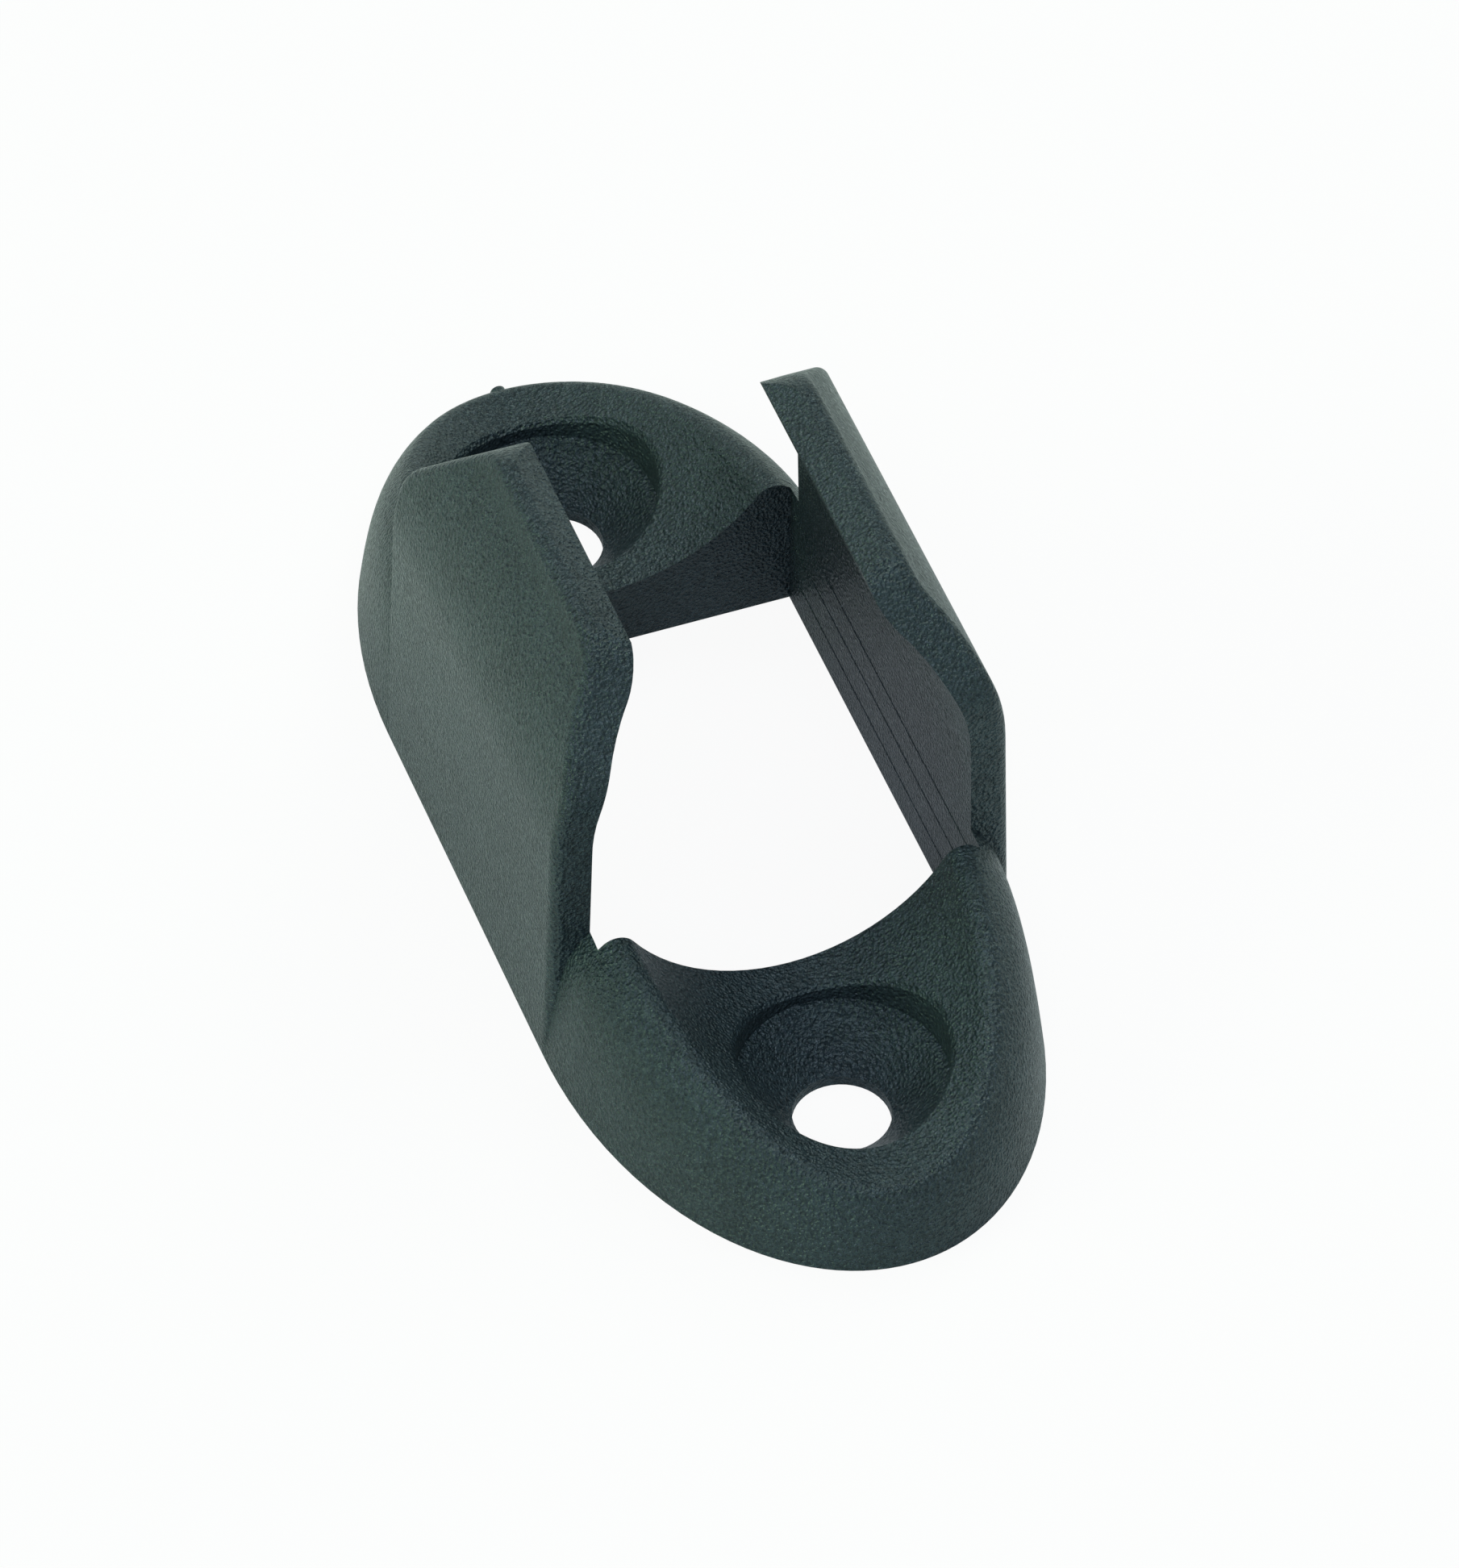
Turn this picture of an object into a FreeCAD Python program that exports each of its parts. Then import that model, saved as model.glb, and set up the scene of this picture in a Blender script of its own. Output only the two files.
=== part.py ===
import FreeCAD, Part
import math
import os
import Sketcher

# Tiller lock clip: a one-piece moulded snap clip that holds a tiller extension tube.
# Frame: origin at the middle of the underside, X across the tube, Y along it, Z up.
# The two screw ends are alike, and the two jaws mirror each other.

# Driving sizes, in millimetres and degrees
SIZES = [
    ("seat_radius", 11.0, "seat for a 22 mm tube"),
    ("seat_floor", 4.6, "base under the lowest line of the tube seat"),
    ("wall_thick", 2.25, "jaw wall around the tube"),
    ("foot_thick", 2.75, "jaw wall at the underside"),
    ("mouth_half_gap", 6.75, "half the mouth between the lips"),
    ("lip_thick", 2.65, "lip across the mouth"),
    ("lip_inner_radius", 4.0, "inside of the lip, where it turns upright"),
    ("lip_outer_radius", 3.5, "outside of the lip, where it turns upright"),
    ("lip_rise", 0.09, "top of the jaws above the middle of the lip's inside curve"),
    ("lead_in_width", 1.5, "slope on the top of a lip, across"),
    ("lead_in_drop", 0.65, "slope on the top of a lip, down"),
    ("straight_half_length", 13.05, "half the straight side of the base"),
    ("end_length", 21.1, "rounded end of the base, from the straight side to the tip"),
    ("jaw_overhang", 0.45, "end of a jaw beyond the straight side"),
    ("jaw_corner_run", 5.9, "slanting corner of a jaw, along the tube"),
    ("jaw_corner_drop", 6.15, "slanting corner of a jaw, down from the top"),
    ("shoulder_radius", 3.0, "rounding at the foot of the slanting corner"),
    ("jaw_top_radius", 4.0, "rounding at the top of the slanting corner"),
    ("jaw_outer_round", 0.7, "rounded outer edge of a jaw"),
    ("flank_extra_lean", 5.0, "lean of the flanks beyond the lean of the jaws, degrees"),
    ("flank_arch_share", 0.31, "top of the flank arch under the tube axis, as a share of the seat"),
    ("flank_arch_power", 6.4, "how late the flanks turn into their arch"),
    ("tip_draft", 9.6, "lean of the tips at the underside, degrees"),
    ("tip_arch_share", 0.42, "top of the tip arch under the tube axis, as a share of the seat"),
    ("tip_arch_power", 2.9, "how late the tips turn into their arch"),
    ("crest_tip_round", 0.8, "rounded crest of a dome at its tip"),
    ("crest_jaw_round", 1.2, "rounded crest of a dome beside the jaws"),
    ("window_flare", 0.4, "opening at the underside, wider than the tube on each side"),
    ("window_end_gap", 1.85, "opening at the underside, beyond the end of a jaw"),
    ("window_end_lean", 0.9, "how far each end wall of the opening leans in at axis height"),
    ("screw_inset", 0.35, "screw from the middle of a rounded end, towards the opening"),
    ("screw_hole_radius", 2.75, "clearance hole for a 5 mm screw"),
    ("screw_land", 0.7, "straight part of the screw hole"),
    ("head_radius", 5.4, "seat of the countersunk screw head"),
    ("recess_gap", 0.5, "round recess above the screw head, wider than the head"),
    ("recess_bevel", 0.25, "broken rim of the recess"),
    ("gate_stub_radius", 0.45, "stub left by the moulding gate on the +Y tip"),
    ("gate_stub_height", 0.2, "how far the stub stands out of the crest"),
    ("groove_step", 2.55, "spacing of the fine grooves inside the opening"),
    ("groove_depth", 0.1, "depth of a fine groove"),
]

# Sizes worked out from the driving ones
WORKED_OUT = [
    ("seat_height", "seat_floor + seat_radius", "tube axis above the underside"),
    ("base_half_width", "seat_radius + foot_thick", "half the base at the underside"),
    ("flank_arch_height", "seat_height - flank_arch_share * seat_radius",
     "top of the arch over the flanks"),
    ("tip_arch_height", "seat_height - tip_arch_share * seat_radius",
     "top of the arch over the tips"),
    ("jaw_height", "seat_height + lip_rise + sqrt((seat_radius + lip_inner_radius) ^ 2"
     " - (mouth_half_gap + lip_inner_radius) ^ 2)", "top of the jaws"),
    ("jaw_half_length", "straight_half_length + jaw_overhang", "half a jaw, along the tube"),
    ("jaw_top_half", "jaw_half_length - jaw_corner_run", "half the jaw's top, unrounded"),
    ("jaw_shoulder_height", "jaw_height - jaw_corner_drop", "foot of the slanting corner"),
    ("window_half_width", "seat_radius + window_flare", "half the opening, across"),
    ("window_half_length", "jaw_half_length + window_end_gap", "half the opening, along"),
    ("screw_half_spacing", "straight_half_length + end_length / 2 - screw_inset",
     "screw from the middle"),
    ("recess_radius", "head_radius + recess_gap", "round recess above the screw head"),
]

doc = FreeCAD.newDocument("TillerLockClip")
sheet = doc.addObject("Spreadsheet::Sheet", "Sizes")
for row, (name, value, note) in enumerate(SIZES + WORKED_OUT, start=1):
    sheet.set("A%d" % row, name)
    sheet.set("C%d" % row, note)
    sheet.setAlias("B%d" % row, name)
    sheet.set("B%d" % row, "=" + value if isinstance(value, str) else str(value))
doc.recompute()


def size(name):
    return float(sheet.get(name))


def plane(body, role):
    return [f for f in body.Origin.OriginFeatures if f.Role == role][0]


def new_sketch(body, name, role):
    sketch = body.newObject("Sketcher::SketchObject", name)
    sketch.AttachmentSupport = [(plane(body, role), "")]
    sketch.MapMode = "FlatFace"
    return sketch


def drive(sketch, name, formula, kind, *where):
    """One dimension of a sketch, held by a formula of the sizes."""
    number = sketch.addConstraint(Sketcher.Constraint(kind, *where))
    sketch.renameConstraint(number, name)
    sketch.setExpression("Constraints." + name, formula)


def point(x, y):
    return FreeCAD.Vector(x, y, 0)


# Domed ends: rings that shrink with height, quickly at the tips and slowly at the flanks
outer = size("seat_radius") + size("wall_thick")
foot = size("base_half_width")
axis = size("seat_height")
jaw_lean = math.acos(outer / math.hypot(foot, axis)) - math.atan2(axis, foot)


def shrunk(reach, draft, height, arch_height, power):
    upright = reach - height * math.tan(draft)
    return upright * math.sqrt(1 - (height / arch_height) ** power)


def flank_at(height):
    return shrunk(foot, jaw_lean + math.radians(size("flank_extra_lean")), height,
                  size("flank_arch_height"), size("flank_arch_power"))


def tip_at(height):
    return shrunk(size("end_length"), math.radians(size("tip_draft")), height,
                  size("tip_arch_height"), size("tip_arch_power"))


def half_ring(height):
    """The +X half of the outline at a height: a straight side and a quarter ellipse at each end."""
    flank = flank_at(height)
    straight = size("straight_half_length")
    reach = straight + tip_at(height)
    edges = [Part.makeLine(FreeCAD.Vector(flank, -straight, height),
                           FreeCAD.Vector(flank, straight, height)),
             Part.makeLine(FreeCAD.Vector(0, -reach, height), FreeCAD.Vector(0, reach, height))]
    for way in (1, -1):
        poles = [FreeCAD.Vector(flank, way * straight, height),
                 FreeCAD.Vector(flank, way * reach, height), FreeCAD.Vector(0, way * reach, height)]
        quarter = Part.BSplineCurve()
        quarter.buildFromPolesMultsKnots(poles, (3, 3), (0, 1), False, 2,
                                         (1, math.cos(math.pi / 4), 1))
        edges.append(quarter.toShape())
    return Part.Wire(Part.__sortEdges__(edges))


half_domes = doc.addObject("Part::Feature", "half_domes")
lower_arch = min(size("flank_arch_height"), size("tip_arch_height"))
half_domes.Shape = Part.makeLoft([half_ring(lower_arch * share) for share in
                                  (0.0, 0.2, 0.4, 0.58, 0.74, 0.88, 0.97)], True, False)

# Base: the domes with the tube seat, the rounded crest and the screw seats
base = doc.addObject("PartDesign::Body", "half_base")
base.BaseFeature = half_domes
doc.recompute()
seat_sketch = new_sketch(base, "seat_circle", "XZ_Plane")
seat_sketch.addGeometry(Part.Circle(point(0, size("seat_height")), FreeCAD.Vector(0, 0, 1),
                                    size("seat_radius")), False)
seat_sketch.addConstraint(Sketcher.Constraint("PointOnObject", 0, 3, -2))
drive(seat_sketch, "axis_height", "Sizes.seat_height", "DistanceY", 0, 3, size("seat_height"))
drive(seat_sketch, "seat", "Sizes.seat_radius", "Radius", 0, size("seat_radius"))
seat = base.newObject("PartDesign::Pocket", "tube_seat")
seat.Profile = seat_sketch
seat.Midplane = True
seat.Type = "Length"
seat.setExpression("Length", "3 * (Sizes.straight_half_length + Sizes.end_length)")
doc.recompute()


def on_seat(p):
    return abs(math.hypot(p.x, p.z - size("seat_height")) - size("seat_radius")) < 0.002


def in_middle(edge):
    """An edge in the plane between the two halves."""
    return abs(edge.BoundBox.XMax) < 0.001


def edge_names(shape, test):
    """Names of the edges whose points all pass a test."""
    names = []
    for number, edge in enumerate(shape.Edges, start=1):
        spans = [edge.FirstParameter + (edge.LastParameter - edge.FirstParameter) * share
                 for share in (0.1, 0.35, 0.5, 0.65, 0.9)]
        if all(test(edge.valueAt(u)) for u in spans):
            names.append("Edge%d" % number)
    return names


def crest_round(vertex):
    """Rounding at an end of a crest edge: smaller at the tips than beside the jaws."""
    at_tip = abs(vertex.Point.y) > size("jaw_half_length")
    return size("crest_tip_round") if at_tip else size("crest_jaw_round")


crest = doc.addObject("Part::Fillet", "crest")
crest.Base = base
crest.Edges = [(int(name[4:]), crest_round(base.Shape.getElement(name).firstVertex()),
                crest_round(base.Shape.getElement(name).lastVertex()))
               for name in edge_names(base.Shape, on_seat)
               if not in_middle(base.Shape.getElement(name))]
other_half = doc.addObject("Part::Mirroring", "other_half")
other_half.Source = crest
other_half.Normal = FreeCAD.Vector(1, 0, 0)
whole_base = doc.addObject("Part::MultiFuse", "whole_base")
whole_base.Shapes = [crest, other_half]
whole_base.Refine = True
doc.recompute()

# Screw seats in the channel of each dome
drilled = doc.addObject("PartDesign::Body", "drilled_base")
drilled.BaseFeature = whole_base
doc.recompute()
screw_sketch = new_sketch(drilled, "screw_seat_profile", "YZ_Plane")
screw = size("screw_half_spacing")
hole = size("screw_hole_radius")
land = size("screw_land")
head = size("head_radius")
recess = size("recess_radius")
cone_top = land + head - hole
step = (recess - head) / 2
spots = [(screw, 0), (screw + hole, 0), (screw + hole, land), (screw + head, cone_top),
         (screw + recess, cone_top + step), (screw + recess, axis), (screw, axis)]
for number in range(len(spots)):
    a, b = spots[number], spots[(number + 1) % len(spots)]
    screw_sketch.addGeometry(Part.LineSegment(point(*a), point(*b)), False)
for number in range(len(spots)):
    screw_sketch.addConstraint(Sketcher.Constraint("Coincident", number, 2,
                                                   (number + 1) % len(spots), 1))
for line in (0, 5):
    screw_sketch.addConstraint(Sketcher.Constraint("Horizontal", line))
for line in (1, 4, 6):
    screw_sketch.addConstraint(Sketcher.Constraint("Vertical", line))
screw_sketch.addConstraint(Sketcher.Constraint("PointOnObject", 0, 1, -1))
drive(screw_sketch, "spacing", "Sizes.screw_half_spacing", "DistanceX", -1, 1, 0, 1, screw)
drive(screw_sketch, "hole", "Sizes.screw_hole_radius", "DistanceX", 0, 1, 0, 2, hole)
drive(screw_sketch, "land", "Sizes.screw_land", "DistanceY", 1, 1, 1, 2, land)
drive(screw_sketch, "head_across", "Sizes.head_radius - Sizes.screw_hole_radius",
      "DistanceX", 2, 1, 2, 2, head - hole)
drive(screw_sketch, "head_up", "Sizes.head_radius - Sizes.screw_hole_radius",
      "DistanceY", 2, 1, 2, 2, head - hole)
drive(screw_sketch, "recess_across", "Sizes.recess_radius - Sizes.head_radius",
      "DistanceX", 3, 1, 3, 2, recess - head)
drive(screw_sketch, "recess_up", "(Sizes.recess_radius - Sizes.head_radius) / 2",
      "DistanceY", 3, 1, 3, 2, step)
drive(screw_sketch, "top", "Sizes.seat_height", "DistanceY", -1, 1, 5, 2, axis)
screw_seat = drilled.newObject("PartDesign::Groove", "screw_seat")
screw_seat.Profile = screw_sketch
screw_seat.ReferenceAxis = (screw_sketch, ["Edge7"])
screw_seat.Angle = 360
doc.recompute()
both_screws = drilled.newObject("PartDesign::Mirrored", "both_screw_seats")
both_screws.Originals = [screw_seat]
both_screws.MirrorPlane = (plane(drilled, "XZ_Plane"), [""])
drilled.Tip = both_screws
doc.recompute()


def on_recess(p):
    from_screw = math.hypot(p.x, abs(p.y) - size("screw_half_spacing"))
    return on_seat(p) and abs(from_screw - size("recess_radius")) < 0.002


rim = drilled.newObject("PartDesign::Chamfer", "recess_rims")
rim.Base = (both_screws, edge_names(both_screws.Shape, on_recess))
rim.setExpression("Size", "Sizes.recess_bevel")
drilled.Tip = rim
doc.recompute()

# Jaw on the +X side: a wall round the tube, turning upright again at the lip
jaw = doc.addObject("PartDesign::Body", "jaw")
profile = new_sketch(jaw, "jaw_profile", "XZ_Plane")
radius = size("seat_radius")
lip = size("lip_inner_radius")
bend = size("lip_outer_radius")
jaw_top = size("jaw_height")
lip_x = size("mouth_half_gap") + lip
lip_z = axis + math.sqrt((radius + lip) ** 2 - lip_x ** 2)
bend_x = size("mouth_half_gap") + size("lip_thick") + bend
bend_z = axis + math.sqrt((outer + bend) ** 2 - bend_x ** 2)
neck_z = jaw_top - size("lead_in_drop")
neck_x = lip_x - math.sqrt(lip ** 2 - (neck_z - lip_z) ** 2)
top_x = neck_x + size("lead_in_width")
ridge_x = bend_x - math.sqrt(bend ** 2 - (jaw_top - bend_z) ** 2)


def arc(x, z, r, start, end):
    return Part.ArcOfCircle(Part.Circle(point(x, z), FreeCAD.Vector(0, 0, 1), r), start, end)


def heading(x, z, cx, cz):
    return math.atan2(z - cz, x - cx) % (2 * math.pi)


for shape in (
    Part.LineSegment(point(foot, 0), point(outer * math.cos(jaw_lean),
                                           axis + outer * math.sin(jaw_lean))),
    arc(0, axis, outer, jaw_lean, heading(bend_x, bend_z, 0, axis)),
    arc(bend_x, bend_z, bend, heading(ridge_x, jaw_top, bend_x, bend_z),
        heading(0, axis, bend_x, bend_z)),
    Part.LineSegment(point(ridge_x, jaw_top), point(top_x, jaw_top)),
    Part.LineSegment(point(top_x, jaw_top), point(neck_x, neck_z)),
    arc(lip_x, lip_z, lip, heading(neck_x, neck_z, lip_x, lip_z), heading(0, axis, lip_x, lip_z)),
    arc(0, axis, radius, 0, heading(lip_x, lip_z, 0, axis)),
    Part.LineSegment(point(radius, axis), point(radius, 0)),
    Part.LineSegment(point(radius, 0), point(foot, 0)),
):
    profile.addGeometry(shape, False)
for ends in ((1, 2, 2, 2), (5, 2, 6, 2), (0, 2, 1, 1)):
    profile.addConstraint(Sketcher.Constraint("Tangent", *ends))
for ends in ((2, 1, 3, 1), (3, 2, 4, 1), (4, 2, 5, 1), (6, 1, 7, 1), (7, 2, 8, 1), (8, 2, 0, 1),
             (1, 3, 6, 3)):
    profile.addConstraint(Sketcher.Constraint("Coincident", *ends))
profile.addConstraint(Sketcher.Constraint("PointOnObject", 1, 3, -2))
profile.addConstraint(Sketcher.Constraint("PointOnObject", 7, 2, -1))
profile.addConstraint(Sketcher.Constraint("PointOnObject", 0, 1, -1))
profile.addConstraint(Sketcher.Constraint("Horizontal", 3))
profile.addConstraint(Sketcher.Constraint("Vertical", 7))
profile.addConstraint(Sketcher.Constraint("Horizontal", 6, 1, 6, 3))
drive(profile, "axis_height", "Sizes.seat_height", "DistanceY", -1, 1, 6, 3, axis)
drive(profile, "seat", "Sizes.seat_radius", "Radius", 6, radius)
drive(profile, "outside", "Sizes.seat_radius + Sizes.wall_thick", "Radius", 1, outer)
drive(profile, "lip", "Sizes.lip_inner_radius", "Radius", 5, lip)
drive(profile, "bend", "Sizes.lip_outer_radius", "Radius", 2, bend)
drive(profile, "lip_centre", "Sizes.mouth_half_gap + Sizes.lip_inner_radius",
      "DistanceX", -1, 1, 5, 3, lip_x)
drive(profile, "bend_centre", "Sizes.mouth_half_gap + Sizes.lip_thick + Sizes.lip_outer_radius",
      "DistanceX", -1, 1, 2, 3, bend_x)
drive(profile, "top", "Sizes.jaw_height", "DistanceY", -1, 1, 3, 1, jaw_top)
drive(profile, "lead_in_across", "Sizes.lead_in_width", "DistanceX", 4, 2, 4, 1, top_x - neck_x)
drive(profile, "lead_in_down", "Sizes.lead_in_drop", "DistanceY", 4, 2, 4, 1, jaw_top - neck_z)
drive(profile, "foot", "Sizes.base_half_width", "DistanceX", -1, 1, 0, 1, foot)
wall = jaw.newObject("PartDesign::Pad", "jaw_wall")
wall.Profile = profile
wall.Midplane = True
wall.setExpression("Length", "2 * Sizes.jaw_half_length")
doc.recompute()

# Rounded, slanting corner of the jaw, seen from the side
corner = new_sketch(jaw, "jaw_corner", "YZ_Plane")
jaw_end = size("jaw_half_length")
shoulder = size("jaw_shoulder_height")
flat = size("jaw_top_half")
shoulder_bend = size("shoulder_radius")
top_bend = size("jaw_top_radius")
slant = math.atan2(jaw_top - shoulder, jaw_end - flat)
shoulder_run = shoulder_bend * math.tan((math.pi / 2 - slant) / 2)
bend_start = shoulder - shoulder_run
top_run = top_bend * math.tan(slant / 2)
along = point(-math.cos(slant), math.sin(slant))
slant_start = point(jaw_end, shoulder) + along * shoulder_run
slant_end = point(flat, jaw_top) - along * top_run
clear = 2.0
for shape in (
    arc(jaw_end - shoulder_bend, bend_start, shoulder_bend, 0, math.pi / 2 - slant),
    Part.LineSegment(slant_start, slant_end),
    arc(flat - top_run, jaw_top - top_bend, top_bend, math.pi / 2 - slant, math.pi / 2),
    Part.LineSegment(point(flat - top_run, jaw_top), point(flat - top_run, jaw_top + clear)),
    Part.LineSegment(point(flat - top_run, jaw_top + clear), point(jaw_end + clear, jaw_top + clear)),
    Part.LineSegment(point(jaw_end + clear, jaw_top + clear), point(jaw_end + clear, bend_start)),
    Part.LineSegment(point(jaw_end + clear, bend_start), point(jaw_end, bend_start)),
):
    corner.addGeometry(shape, False)
corner.addGeometry(Part.Point(point(jaw_end, shoulder)), True)
corner.addGeometry(Part.Point(point(flat, jaw_top)), True)
corner.addConstraint(Sketcher.Constraint("Tangent", 0, 2, 1, 1))
corner.addConstraint(Sketcher.Constraint("Tangent", 1, 2, 2, 1))
for ends in ((2, 2, 3, 1), (3, 2, 4, 1), (4, 2, 5, 1), (5, 2, 6, 1), (6, 2, 0, 1)):
    corner.addConstraint(Sketcher.Constraint("Coincident", *ends))
for line in (3, 5):
    corner.addConstraint(Sketcher.Constraint("Vertical", line))
for line in (4, 6):
    corner.addConstraint(Sketcher.Constraint("Horizontal", line))
corner.addConstraint(Sketcher.Constraint("Horizontal", 0, 1, 0, 3))
corner.addConstraint(Sketcher.Constraint("Vertical", 2, 2, 2, 3))
for number in (7, 8):
    corner.addConstraint(Sketcher.Constraint("PointOnObject", number, 1, 1))
drive(corner, "shoulder_out", "Sizes.jaw_half_length", "DistanceX", -1, 1, 7, 1, jaw_end)
drive(corner, "shoulder_up", "Sizes.jaw_shoulder_height", "DistanceY", -1, 1, 7, 1, shoulder)
drive(corner, "top_out", "Sizes.jaw_top_half", "DistanceX", -1, 1, 8, 1, flat)
drive(corner, "top_up", "Sizes.jaw_height", "DistanceY", -1, 1, 8, 1, jaw_top)
drive(corner, "end_out", "Sizes.jaw_half_length", "DistanceX", -1, 1, 0, 1, jaw_end)
drive(corner, "end_up", "Sizes.jaw_height", "DistanceY", -1, 1, 2, 2, jaw_top)
drive(corner, "low_round", "Sizes.shoulder_radius", "Radius", 0, shoulder_bend)
drive(corner, "high_round", "Sizes.jaw_top_radius", "Radius", 2, top_bend)
drive(corner, "clear_up", "Sizes.jaw_height + %g" % clear, "DistanceY", -1, 1, 4, 1, jaw_top + clear)
drive(corner, "clear_out", "Sizes.jaw_half_length + %g" % clear,
      "DistanceX", -1, 1, 4, 2, jaw_end + clear)
near_corner = jaw.newObject("PartDesign::Pocket", "jaw_corner_cut")
near_corner.Profile = corner
near_corner.Midplane = True
near_corner.Type = "Length"
near_corner.setExpression("Length", "4 * (Sizes.seat_radius + Sizes.wall_thick)")
doc.recompute()
both_corners = jaw.newObject("PartDesign::Mirrored", "both_jaw_corners")
both_corners.Originals = [near_corner]
both_corners.MirrorPlane = (plane(jaw, "XZ_Plane"), [""])
jaw.Tip = both_corners
doc.recompute()


def jaw_outside(p):
    """On the outer surface of the jaw, above the underside."""
    upright = p.x > outer and p.z < axis + 1
    from_axis = abs(math.hypot(p.x, p.z - axis) - outer)
    from_bend = abs(math.hypot(p.x - bend_x, p.z - bend_z) - bend)
    return p.z > 0.01 and (upright or min(from_axis, from_bend) < 0.002)


def along_jaw(edge):
    """An edge that runs the way of the tube, below the top of the jaw."""
    start = edge.valueAt(edge.FirstParameter)
    run = edge.valueAt(edge.LastParameter) - start
    return math.hypot(run.x, run.z) < 0.001 and start.z < jaw_top - 0.01


rounded = jaw.newObject("PartDesign::Fillet", "jaw_outer_edge")
rounded.Base = (both_corners, [
    name for name in edge_names(both_corners.Shape, jaw_outside)
    if not along_jaw(both_corners.Shape.getElement(name))])
rounded.setExpression("Radius", "Sizes.jaw_outer_round")
jaw.Tip = rounded
doc.recompute()

other_jaw = doc.addObject("Part::Mirroring", "other_jaw")
other_jaw.Source = jaw
other_jaw.Normal = FreeCAD.Vector(1, 0, 0)

# Stub of the moulding gate, just below the crest of the +Y tip and clear of the tube
seat_floor = size("seat_floor")
gate_stub = doc.addObject("Part::Cylinder", "gate_stub")
gate_stub.setExpression("Radius", "Sizes.gate_stub_radius")
gate_stub.setExpression("Height", "Sizes.crest_tip_round + Sizes.gate_stub_height")
gate_stub.Placement = FreeCAD.Placement(
    FreeCAD.Vector(0, size("straight_half_length") + tip_at(seat_floor) - size("crest_tip_round") / 2,
                   seat_floor - size("crest_tip_round")),
    FreeCAD.Rotation(FreeCAD.Vector(1, 0, 0), -90))

joined = doc.addObject("Part::MultiFuse", "base_and_jaws")
joined.Shapes = [drilled, jaw, other_jaw, gate_stub]
joined.Refine = True
doc.recompute()

# Tapered opening through the base, as wide at axis height as the tube seat
opening = doc.addObject("Part::Wedge", "opening_shape")
below = "(1 + 1 / Sizes.seat_height)"
for name, formula in (
    ("Ymin", "-1"),
    ("Ymax", "Sizes.seat_height"),
    ("Xmax", "Sizes.seat_radius + (Sizes.window_half_width - Sizes.seat_radius) * " + below),
    ("Xmin", "-Xmax"),
    ("Zmax", "Sizes.window_half_length - Sizes.window_end_lean * (1 - %s)" % below),
    ("Zmin", "-Zmax"),
    ("X2max", "Sizes.seat_radius"),
    ("X2min", "-Sizes.seat_radius"),
    ("Z2max", "Sizes.window_half_length - Sizes.window_end_lean"),
    ("Z2min", "Sizes.window_end_lean - Sizes.window_half_length"),
):
    opening.setExpression(name, formula)
opening.Placement = FreeCAD.Placement(point(0, 0), FreeCAD.Rotation(FreeCAD.Vector(1, 0, 0), 90))
opened = doc.addObject("Part::Cut", "opened_clip")
opened.Base = joined
opened.Tool = opening
opened.Refine = True
doc.recompute()

# Finished clip: fine grooves on the side walls of the opening
clip = doc.addObject("PartDesign::Body", "finished_clip")
clip.BaseFeature = opened
doc.recompute()
grooves = new_sketch(clip, "groove_profile", "XZ_Plane")
deep = size("groove_depth")
for count in (1, 2, 3):
    level = count * size("groove_step")
    root = size("window_half_width") + deep - (size("window_half_width") - radius) * level / axis
    first = 3 * count - 3
    tips = [point(root, level), point(root - 2 * deep, level + 2 * deep),
            point(root - 2 * deep, level - 2 * deep)]
    for number in (0, 1, 2):
        grooves.addGeometry(Part.LineSegment(tips[number], tips[(number + 1) % 3]), False)
    for number in (0, 1, 2):
        grooves.addConstraint(Sketcher.Constraint("Coincident", first + number, 2,
                                                  first + (number + 1) % 3, 1))
    grooves.addConstraint(Sketcher.Constraint("Vertical", first + 1))
    name = "groove_%d" % count
    level_formula = "%d * Sizes.groove_step" % count
    drive(grooves, name + "_level", level_formula, "DistanceY", -1, 1, first, 1, level)
    drive(grooves, name + "_root", "Sizes.window_half_width + Sizes.groove_depth"
          " - (Sizes.window_half_width - Sizes.seat_radius) * " + level_formula
          + " / Sizes.seat_height", "DistanceX", -1, 1, first, 1, root)
    drive(grooves, name + "_across", "2 * Sizes.groove_depth",
          "DistanceX", first, 2, first, 1, 2 * deep)
    drive(grooves, name + "_up", "2 * Sizes.groove_depth",
          "DistanceY", first, 1, first, 2, 2 * deep)
    drive(grooves, name + "_down", "2 * Sizes.groove_depth",
          "DistanceY", first + 1, 2, first, 1, 2 * deep)
groove_cut = clip.newObject("PartDesign::Pocket", "fine_grooves")
groove_cut.Profile = grooves
groove_cut.Midplane = True
groove_cut.Type = "Length"
groove_cut.setExpression("Length", "2 * (Sizes.window_half_length - Sizes.window_end_lean)")
doc.recompute()
both_sides = clip.newObject("PartDesign::Mirrored", "grooves_both_sides")
both_sides.Originals = [groove_cut]
both_sides.MirrorPlane = (plane(clip, "YZ_Plane"), [""])
clip.Tip = both_sides
clip.Label = "clip_body"
doc.recompute()

# Checks and export
for item in doc.Objects:
    if "Invalid" in item.State or "Error" in item.State:
        raise RuntimeError("%s did not build: %s" % (item.Label, item.State))
if clip.Shape.isNull() or not clip.Shape.isValid() or len(clip.Shape.Solids) != 1:
    raise RuntimeError("clip_body is not one sound solid")
os.makedirs("parts", exist_ok=True)
clip.Shape.exportStep("parts/%s.step" % clip.Label)
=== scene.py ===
import bpy
import math
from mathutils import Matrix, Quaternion, Vector

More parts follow.
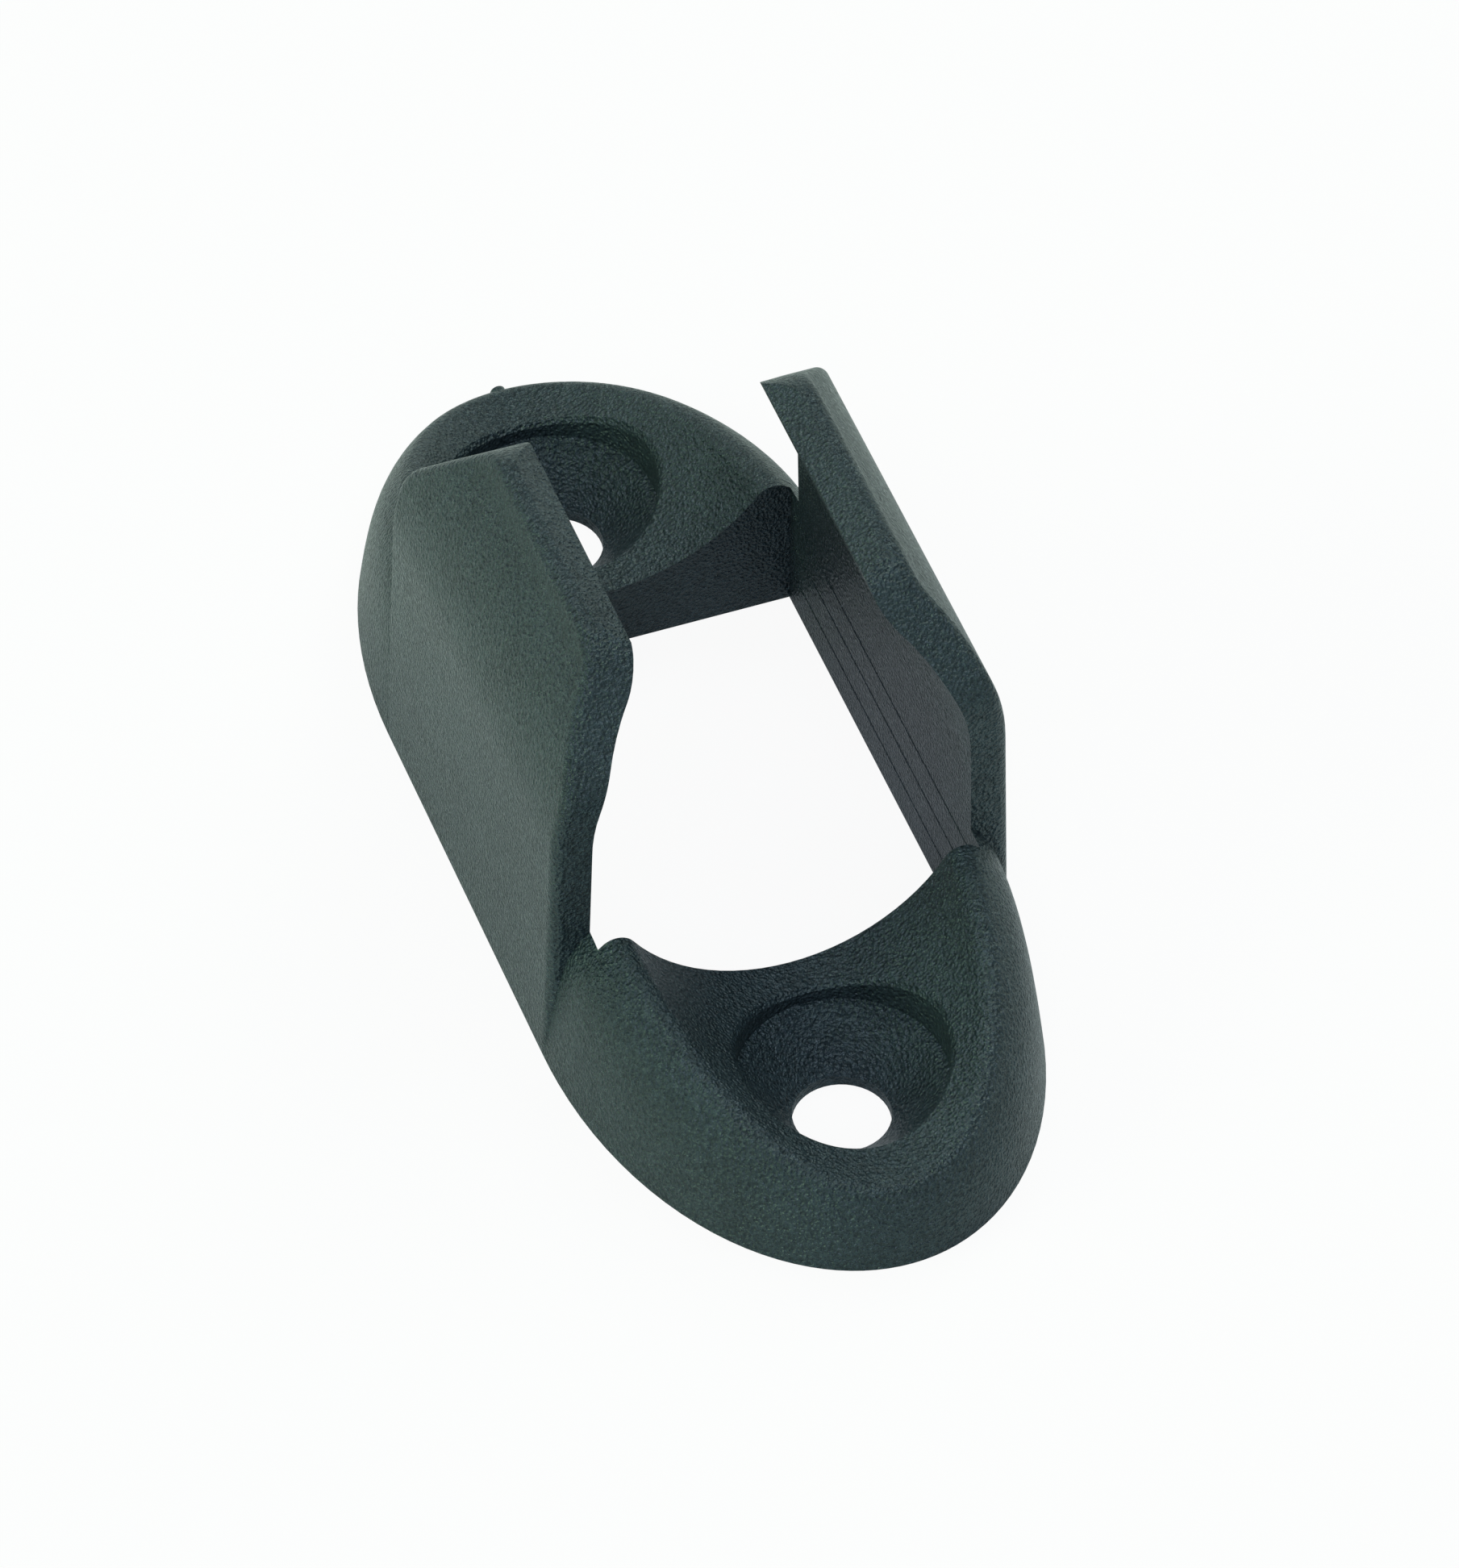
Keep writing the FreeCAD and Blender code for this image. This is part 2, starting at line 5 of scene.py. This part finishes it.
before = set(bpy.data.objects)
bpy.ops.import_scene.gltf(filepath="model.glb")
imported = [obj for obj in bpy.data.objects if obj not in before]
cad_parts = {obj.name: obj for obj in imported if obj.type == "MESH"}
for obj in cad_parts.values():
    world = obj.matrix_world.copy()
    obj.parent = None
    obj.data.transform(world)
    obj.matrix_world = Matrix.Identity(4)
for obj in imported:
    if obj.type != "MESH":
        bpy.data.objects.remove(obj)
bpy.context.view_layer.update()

# Tiller lock clip: one moulded piece of charcoal plastic with a fine spark-eroded grain.
# The moulded body is the CAD solid; this file gives it its plastic, the light and the camera.
# Lengths are in metres, lamp powers in watts, colours in linear red, green and blue.

MM = 0.001
WHITE = (1.0, 1.0, 1.0, 1.0)

# plastic: how many grains, pits and clouds go to a metre, and how they are mixed
GRAIN_PER_METRE = 4400.0
PITS_PER_METRE = 4800.0
PIT_SHARE = 0.6
GRAIN_DEPTH = 0.18 * MM
CLOUDS_PER_METRE = 260.0
CLOUD_SHARE = 0.35
DARK_SLATE = (0.006, 0.013, 0.017, 1.0)
PALE_SLATE = (0.032, 0.056, 0.064, 1.0)
GLOSS_TINT = (0.78, 1.0, 0.97, 1.0)
LOW_GRAIN, HIGH_GRAIN = 0.35, 0.75
LOW_ROUGHNESS, HIGH_ROUGHNESS = 0.18, 0.4

# floor and world: how much of them is plain white, in view and in gloss
FLOOR_SIDE = 6.0
FLOOR_COLOUR = (0.74, 0.86, 0.8, 1.0)
FLOOR_WHITE_IN_VIEW, FLOOR_WHITE_IN_GLOSS = 0.93, 0.12
WORLD_WHITE_IN_VIEW, WORLD_WHITE_IN_GLOSS = 1.0, 0.1
STUDIO_DIMNESS = 0.05

# lamps: all the same square box, aimed at the middle of the clip
LAMP_SIDE = 0.4
LAMP_REACH = 0.8
CLIP_MIDDLE = Vector((0, 0, 0.01))

# camera: a long lens 0.64 m away
FOCAL_LENGTH = 260.22
SENSOR_WIDTH = 36.0
NEAREST_SEEN = 0.01
CAMERA_PLACE = Vector((-0.152289, -0.406689, 0.465694))
CAMERA_AIM = Vector((0.002458, 0.001135, 0.001795))
CAMERA_TILT = 0.596


# ---------------------------------------------------------------- nodes

def node(tree, kind, place, inputs=None, **settings):
    """Add a node, with values for its unlinked sockets by name or number."""
    made = tree.nodes.new(kind)
    made.location = place
    for name, value in settings.items():
        setattr(made, name, value)
    for socket, value in (inputs or {}).items():
        made.inputs[socket].default_value = value
    return made


def empty_tree(owner):
    """Turn on the nodes of a material or world and clear them."""
    owner.use_nodes = True
    owner.node_tree.nodes.clear()
    return owner.node_tree, owner.node_tree.links.new


# ---------------------------------------------------------------- plastic

def charcoal_plastic():
    """Dark slate plastic: spark-eroded grain, faint mottling, satin sheen."""
    plastic = bpy.data.materials.new("charcoal_plastic_grained")
    tree, link = empty_tree(plastic)
    out = node(tree, "ShaderNodeOutputMaterial", (900, 0))
    shader = node(tree, "ShaderNodeBsdfPrincipled", (600, 0),
                  {"Specular IOR Level": 0.5, "IOR": 1.5, "Specular Tint": GLOSS_TINT})
    link(shader.outputs["BSDF"], out.inputs["Surface"])
    coords = node(tree, "ShaderNodeTexCoord", (-1200, 0))

    # grain: eroded pits a fifth of a millimetre across
    fine = node(tree, "ShaderNodeTexNoise", (-900, 0),
                {"Scale": GRAIN_PER_METRE, "Detail": 2.0, "Roughness": 0.6})
    link(coords.outputs["Object"], fine.inputs["Vector"])
    pits = node(tree, "ShaderNodeTexVoronoi", (-900, -300),
                {"Scale": PITS_PER_METRE}, feature="F1")
    link(coords.outputs["Object"], pits.inputs["Vector"])
    both = node(tree, "ShaderNodeMath", (-650, -150), {1: PIT_SHARE},
                operation="MULTIPLY_ADD")
    link(pits.outputs["Distance"], both.inputs[0])
    link(fine.outputs["Fac"], both.inputs[2])
    bump = node(tree, "ShaderNodeBump", (300, -250),
                {"Strength": 1.0, "Distance": GRAIN_DEPTH})
    link(both.outputs["Value"], bump.inputs["Height"])
    link(bump.outputs["Normal"], shader.inputs["Normal"])

    # colour: slate with slow clouds, and paler specks where the grain stands up
    clouds = node(tree, "ShaderNodeTexNoise", (-900, 400),
                  {"Scale": CLOUDS_PER_METRE, "Detail": 5.0, "Roughness": 0.65})
    link(coords.outputs["Object"], clouds.inputs["Vector"])
    specks = node(tree, "ShaderNodeMath", (-650, 300), {1: CLOUD_SHARE},
                  operation="MULTIPLY_ADD")
    link(clouds.outputs["Fac"], specks.inputs[0])
    link(fine.outputs["Fac"], specks.inputs[2])
    tones = node(tree, "ShaderNodeValToRGB", (-450, 400))
    dark, pale = tones.color_ramp.elements
    dark.position, dark.color = 0.5, DARK_SLATE
    pale.position, pale.color = 0.9, PALE_SLATE
    link(specks.outputs["Value"], tones.inputs["Fac"])
    link(tones.outputs["Color"], shader.inputs["Base Color"])

    # sheen: satin, glossier on the tops of the grain
    rough = node(tree, "ShaderNodeMapRange", (300, 100),
                 {"From Min": LOW_GRAIN, "From Max": HIGH_GRAIN,
                  "To Min": HIGH_ROUGHNESS, "To Max": LOW_ROUGHNESS})
    link(fine.outputs["Fac"], rough.inputs["Value"])
    link(rough.outputs["Result"], shader.inputs["Roughness"])
    return plastic


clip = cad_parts["clip_body"]
clip.data.materials[0] = charcoal_plastic()


# ---------------------------------------------------------------- floor

def background_share(tree, in_view, in_gloss):
    """Share of plain white that a ray sees: in view or through glass, and in gloss."""
    link = tree.links.new
    rays = node(tree, "ShaderNodeLightPath", (-700, 300))
    seen = node(tree, "ShaderNodeMath", (-450, 400), operation="MAXIMUM")
    link(rays.outputs["Is Camera Ray"], seen.inputs[0])
    link(rays.outputs["Is Transmission Ray"], seen.inputs[1])
    view = node(tree, "ShaderNodeMath", (-250, 400), {1: in_view}, operation="MULTIPLY")
    link(seen.outputs["Value"], view.inputs[0])
    gloss = node(tree, "ShaderNodeMath", (-250, 200), {1: in_gloss}, operation="MULTIPLY")
    link(rays.outputs["Is Glossy Ray"], gloss.inputs[0])
    share = node(tree, "ShaderNodeMath", (-50, 300), operation="MAXIMUM")
    link(view.outputs["Value"], share.inputs[0])
    link(gloss.outputs["Value"], share.inputs[1])
    return share


def pale_floor():
    """A wide pale floor that reads white in view and keeps the clip's shadow."""
    bpy.ops.object.select_all(action="DESELECT")
    bpy.ops.mesh.primitive_plane_add(size=FLOOR_SIDE, location=(0, 0, 0))
    floor = bpy.context.object
    floor.name = "floor"
    pale = bpy.data.materials.new("pale_floor")
    tree, link = empty_tree(pale)
    out = node(tree, "ShaderNodeOutputMaterial", (600, 0))
    mixed = node(tree, "ShaderNodeMixShader", (400, 0))
    matt = node(tree, "ShaderNodeBsdfDiffuse", (150, -150), {"Color": FLOOR_COLOUR})
    white = node(tree, "ShaderNodeEmission", (150, 150), {"Color": WHITE, "Strength": 1.0})
    share = background_share(tree, FLOOR_WHITE_IN_VIEW, FLOOR_WHITE_IN_GLOSS)
    link(share.outputs["Value"], mixed.inputs["Fac"])
    link(matt.outputs["BSDF"], mixed.inputs[1])
    link(white.outputs["Emission"], mixed.inputs[2])
    link(mixed.outputs["Shader"], out.inputs["Surface"])
    floor.data.materials.append(pale)


pale_floor()


# ---------------------------------------------------------------- light

def soft_box(name, compass, height, power, colour):
    """A square studio lamp: degrees round from +X, degrees up, power and colour."""
    lamp = bpy.data.lights.new(name, "AREA")
    lamp.shape = "SQUARE"
    lamp.size = LAMP_SIDE
    lamp.energy = power
    lamp.color = colour
    stand = bpy.data.objects.new(name, lamp)
    bpy.context.collection.objects.link(stand)
    turn, rise = math.radians(compass), math.radians(height)
    reach = LAMP_REACH * math.cos(rise)
    stand.location = CLIP_MIDDLE + Vector((reach * math.cos(turn), reach * math.sin(turn),
                                           LAMP_REACH * math.sin(rise)))
    aim = CLIP_MIDDLE - stand.location
    stand.rotation_euler = aim.to_track_quat("-Z", "Y").to_euler()


soft_box("back_box", 90, 60, 1.7, (0.98, 0.9, 1.0))
soft_box("camera_box", 250, 50, 2.6, (0.8, 0.78, 1.0))
soft_box("right_back_box", 45, 38, 1.8, (0.92, 1.0, 0.84))
soft_box("left_box", 180, 25, 3.0, (0.82, 1.0, 0.66))
soft_box("right_box", 0, 60, 1.0, (0.85, 1.0, 0.95))


def soft_world():
    """A dim studio, with a backdrop that is white in view and low in gloss."""
    world = bpy.data.worlds.new("studio")
    bpy.context.scene.world = world
    tree, link = empty_tree(world)
    out = node(tree, "ShaderNodeOutputWorld", (600, 0))
    mixed = node(tree, "ShaderNodeMixShader", (400, 0))
    dim = node(tree, "ShaderNodeBackground", (150, -150),
               {"Color": WHITE, "Strength": STUDIO_DIMNESS})
    white = node(tree, "ShaderNodeBackground", (150, 150), {"Color": WHITE, "Strength": 1.0})
    share = background_share(tree, WORLD_WHITE_IN_VIEW, WORLD_WHITE_IN_GLOSS)
    link(share.outputs["Value"], mixed.inputs["Fac"])
    link(dim.outputs["Background"], mixed.inputs[1])
    link(white.outputs["Background"], mixed.inputs[2])
    link(mixed.outputs["Shader"], out.inputs["Surface"])


soft_world()
bpy.context.scene.view_settings.view_transform = "Standard"


# ---------------------------------------------------------------- camera

def studio_camera():
    """A long lens from the near left, 47 degrees above the floor."""
    lens = bpy.data.cameras.new("camera")
    lens.lens = FOCAL_LENGTH
    lens.sensor_width = SENSOR_WIDTH
    lens.clip_start = NEAREST_SEEN
    camera = bpy.data.objects.new("camera", lens)
    bpy.context.collection.objects.link(camera)
    level = (CAMERA_AIM - CAMERA_PLACE).to_track_quat("-Z", "Y")
    tilt = Quaternion((0, 0, 1), math.radians(CAMERA_TILT))
    camera.location = CAMERA_PLACE
    camera.rotation_euler = (level @ tilt).to_euler()
    bpy.context.scene.camera = camera


studio_camera()
